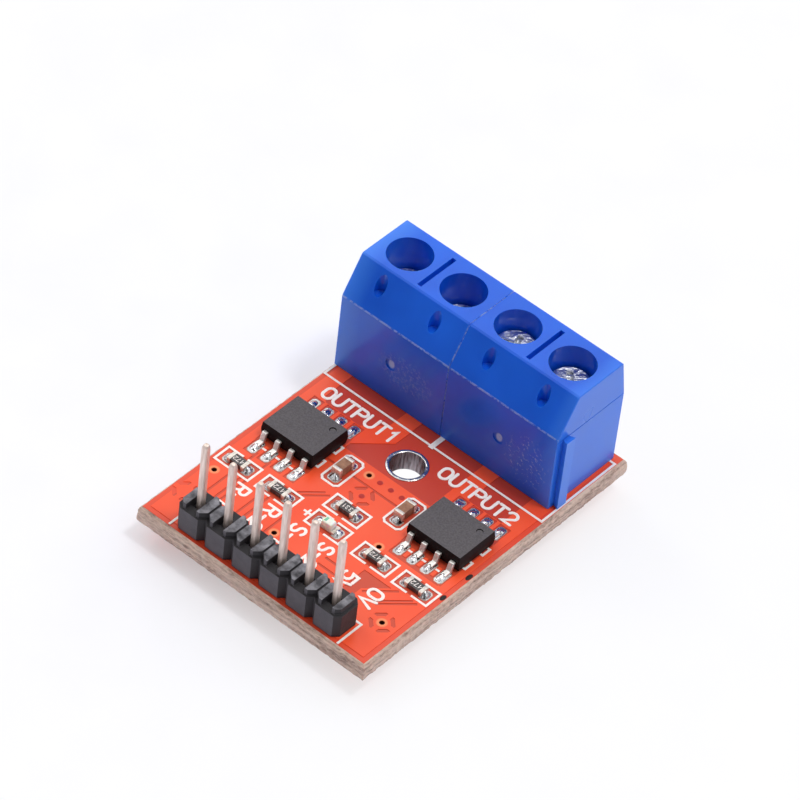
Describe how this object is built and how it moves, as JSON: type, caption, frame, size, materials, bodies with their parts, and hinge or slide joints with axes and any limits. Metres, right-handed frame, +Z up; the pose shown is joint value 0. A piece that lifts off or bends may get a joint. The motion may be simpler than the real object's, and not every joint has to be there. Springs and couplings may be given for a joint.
{
  "type": "dc motor driver module",
  "caption": "Small driver board for two DC motors: pin header at one edge, screw terminals with turning clamp screws at the other, driver chips and small parts between them.",
  "frame": {"origin": "axis of the mounting hole at the laminate's underside", "axes": "+X along the pin header towards its last pin, +Y from the pin header to the screw terminals, +Z up, out of the board's component side"},
  "size_m": [0.0214, 0.0288, 0.013],
  "materials": {
    "laminate": "raw woven glass laminate",
    "solder_mask_red": "glossy red solder mask",
    "tinned_copper": "tinned copper",
    "print_white": "white printed ink",
    "header_black": "black moulded plastic",
    "pin_plating": "tin-plated brass",
    "solder": "bright solder",
    "housing_blue": "blue moulded plastic",
    "clamp_metal": "plated folded metal",
    "screw_metal": "nickel-plated steel",
    "chip_black": "black moulding compound",
    "lead_tin": "tin-plated copper",
    "resistor_body": "dark coated ceramic",
    "capacitor_body": "tan ceramic",
    "lamp_base": "white substrate",
    "lamp_lens": "milky cast resin"
  },
  "bodies": {
    "module": {"capacitor_1_body": "capacitor_body", "capacitor_1_terminals": "lead_tin", "capacitor_2_body": "capacitor_body", "capacitor_2_terminals": "lead_tin", "chip_solder": "solder", "circuit_board": "laminate", "component_pads": "tinned_copper", "driver_chip_1_body": "chip_black", "driver_chip_1_leads": "lead_tin", "driver_chip_2_body": "chip_black", "driver_chip_2_leads": "lead_tin", "header_body": "header_black", "header_pin_1": "pin_plating", "header_pin_2": "pin_plating", "header_pin_3": "pin_plating", "header_pin_4": "pin_plating", "header_pin_5": "pin_plating", "header_pin_6": "pin_plating", "header_solder": "solder", "lamp_base": "lamp_base", "lamp_lens": "lamp_lens", "lamp_terminals": "lead_tin", "mounting_hole_plating": "tinned_copper", "resistor_1_body": "resistor_body", "resistor_1_terminals": "lead_tin", "resistor_2_body": "resistor_body", "resistor_2_terminals": "lead_tin", "resistor_3_body": "resistor_body", "resistor_3_terminals": "lead_tin", "resistor_4_body": "resistor_body", "resistor_4_terminals": "lead_tin", "resistor_5_body": "resistor_body", "resistor_5_terminals": "lead_tin", "silkscreen_outlines": "print_white", "small_part_solder": "solder", "solder_mask_bottom": "solder_mask_red", "solder_mask_top": "solder_mask_red", "terminal_clamp_1": "clamp_metal", "terminal_clamp_2": "clamp_metal", "terminal_clamp_3": "clamp_metal", "terminal_clamp_4": "clamp_metal", "terminal_housing_1": "housing_blue", "terminal_housing_2": "housing_blue", "terminal_solder": "solder"},
    "plate_1": {"pressure_plate_1": "clamp_metal"},
    "screw_1": {"terminal_screw_1": "screw_metal"},
    "plate_2": {"pressure_plate_2": "clamp_metal"},
    "screw_2": {"terminal_screw_2": "screw_metal"},
    "plate_3": {"pressure_plate_3": "clamp_metal"},
    "screw_3": {"terminal_screw_3": "screw_metal"},
    "plate_4": {"pressure_plate_4": "clamp_metal"},
    "screw_4": {"terminal_screw_4": "screw_metal"}
  },
  "joints": [
    {"name": "plate_1_travel", "type": "slide", "parent": "module", "child": "plate_1", "axis": [0, 0, 1], "range_m": [0, 0.0025]},
    {"name": "screw_1_turn", "type": "hinge", "parent": "plate_1", "child": "screw_1", "pos_m": [-0.00795, 0.00805, 0.008], "axis": [0, 0, 1], "range_deg": [0, 1800.5]},
    {"name": "plate_2_travel", "type": "slide", "parent": "module", "child": "plate_2", "axis": [0, 0, 1], "range_m": [0, 0.0025]},
    {"name": "screw_2_turn", "type": "hinge", "parent": "plate_2", "child": "screw_2", "pos_m": [-0.00287, 0.00805, 0.008], "axis": [0, 0, 1], "range_deg": [0, 1800.5]},
    {"name": "plate_3_travel", "type": "slide", "parent": "module", "child": "plate_3", "axis": [0, 0, 1], "range_m": [-0.001, 0.0015]},
    {"name": "screw_3_turn", "type": "hinge", "parent": "plate_3", "child": "screw_3", "pos_m": [0.00221, 0.00805, 0.008], "axis": [0, 0, 1], "range_deg": [-720.5, 1080.5]},
    {"name": "plate_4_travel", "type": "slide", "parent": "module", "child": "plate_4", "axis": [0, 0, 1], "range_m": [-0.001, 0.0015]},
    {"name": "screw_4_turn", "type": "hinge", "parent": "plate_4", "child": "screw_4", "pos_m": [0.00729, 0.00805, 0.008], "axis": [0, 0, 1], "range_deg": [-720.5, 1080.5]}
  ],
  "couplings": [
    {"joint": "screw_1_turn", "follows": "plate_1_travel", "rad_per_m": 12566},
    {"joint": "screw_2_turn", "follows": "plate_2_travel", "rad_per_m": 12566},
    {"joint": "screw_3_turn", "follows": "plate_3_travel", "rad_per_m": 12566},
    {"joint": "screw_4_turn", "follows": "plate_4_travel", "rad_per_m": 12566}
  ]
}
